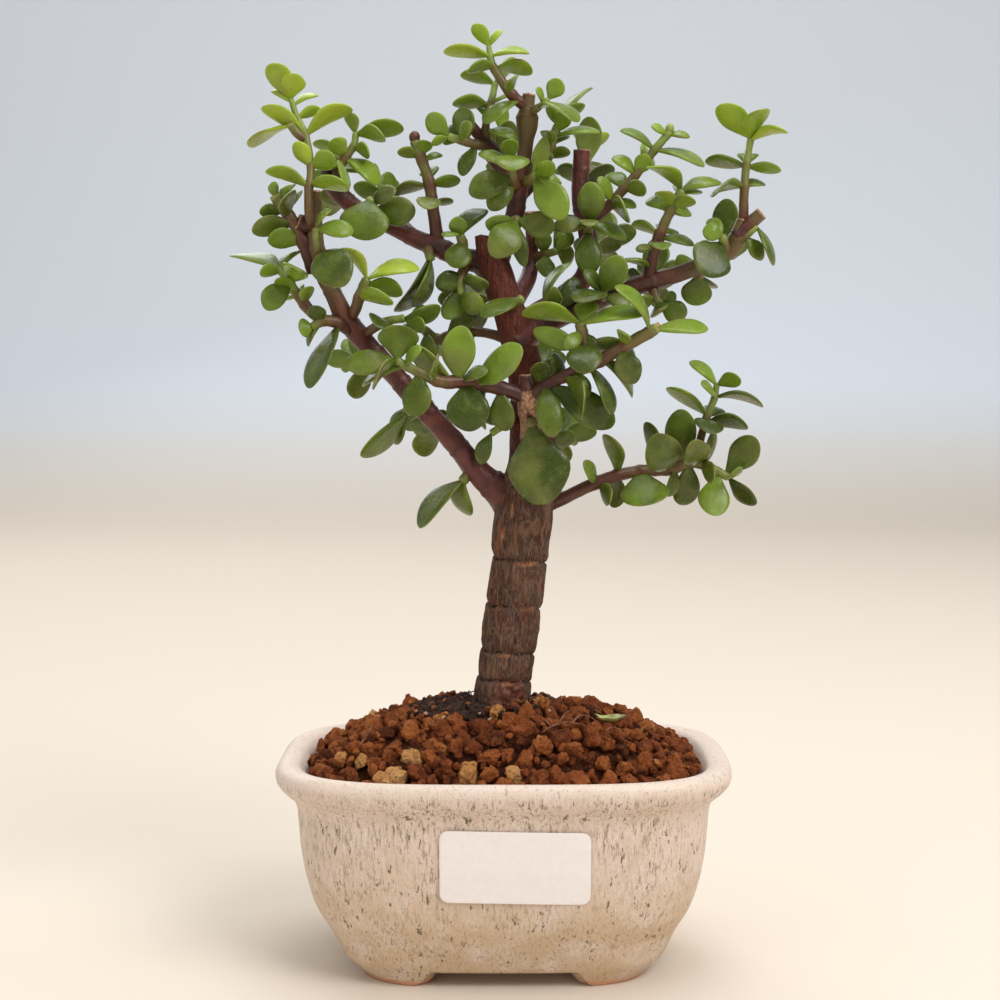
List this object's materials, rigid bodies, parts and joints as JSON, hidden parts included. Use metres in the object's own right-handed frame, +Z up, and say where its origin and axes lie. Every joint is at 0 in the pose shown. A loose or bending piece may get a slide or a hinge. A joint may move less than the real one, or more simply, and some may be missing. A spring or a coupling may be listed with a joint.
{
  "type": "potted dwarf jade bonsai",
  "caption": "Dwarf jade bonsai with a ringed upright trunk, spreading limbs and round fleshy leaves, in an oblong glazed pot with four low feet.",
  "frame": {"origin": "under the middle of the pot, on the surface that its feet stand on", "axes": "+Z up along the trunk, +X to the right and -Y to the front, where the label is"},
  "size_m": [0.1577, 0.0856, 0.2673],
  "materials": {
    "glazed_stoneware": "matt cream glaze with brown flecks, bare clay on the foot pads",
    "screen_plastic": "moulded black mesh",
    "fired_clay_grains": "dry rust-brown fired clay grains, three to six millimetres",
    "peat": "dark damp peat with fine roots",
    "bark": "grey-brown ridged bark on the trunk, smooth red-brown bark on the limbs",
    "label_paper": "blank satin paper label",
    "dry_leaf": "withered curled leaf",
    "jade_leaf": "waxy green leaf skin, paler at the rim, on smooth olive to red-brown stems"
  },
  "bodies": {
    "root": {"pot": "glazed_stoneware", "drain_screen": "screen_plastic", "soil": "fired_clay_grains", "peat_collar": "peat", "wood": "bark", "label": "label_paper", "fallen_leaf": "dry_leaf", "shoot_back_1": "jade_leaf", "shoot_back_10": "jade_leaf", "shoot_back_11": "jade_leaf", "shoot_back_12": "jade_leaf", "shoot_back_2": "jade_leaf", "shoot_back_3": "jade_leaf", "shoot_back_4": "jade_leaf", "shoot_back_5": "jade_leaf", "shoot_back_6": "jade_leaf", "shoot_back_7": "jade_leaf", "shoot_back_8": "jade_leaf", "shoot_back_9": "jade_leaf", "shoot_back_left": "jade_leaf", "shoot_big_front": "jade_leaf", "shoot_crown_front": "jade_leaf", "shoot_crown_hollow": "jade_leaf", "shoot_crown_low": "jade_leaf", "shoot_crown_mid": "jade_leaf", "shoot_crown_right": "jade_leaf", "shoot_far_right": "jade_leaf", "shoot_front_left": "jade_leaf", "shoot_front_right": "jade_leaf", "shoot_hanging": "jade_leaf", "shoot_left_front": "jade_leaf", "shoot_left_high": "jade_leaf", "shoot_left_low": "jade_leaf", "shoot_left_round": "jade_leaf", "shoot_left_stub": "jade_leaf", "shoot_left_tip": "jade_leaf", "shoot_left_under": "jade_leaf", "shoot_limb_front": "jade_leaf", "shoot_limb_leaf_a": "jade_leaf", "shoot_limb_leaf_b": "jade_leaf", "shoot_limb_top": "jade_leaf", "shoot_pruned_twig": "jade_leaf", "shoot_right_arch": "jade_leaf", "shoot_right_back": "jade_leaf", "shoot_right_end": "jade_leaf", "shoot_right_high": "jade_leaf", "shoot_right_in": "jade_leaf", "shoot_right_low": "jade_leaf", "shoot_right_mid": "jade_leaf", "shoot_right_round": "jade_leaf", "shoot_right_tall": "jade_leaf", "shoot_right_under": "jade_leaf", "shoot_star": "jade_leaf", "shoot_star_low": "jade_leaf", "shoot_top_left": "jade_leaf", "shoot_top_right": "jade_leaf", "shoot_top_stalk": "jade_leaf", "shoot_trunk_left": "jade_leaf", "shoot_trunk_top": "jade_leaf", "shoot_upright_twig": "jade_leaf"}
  },
  "joints": []
}
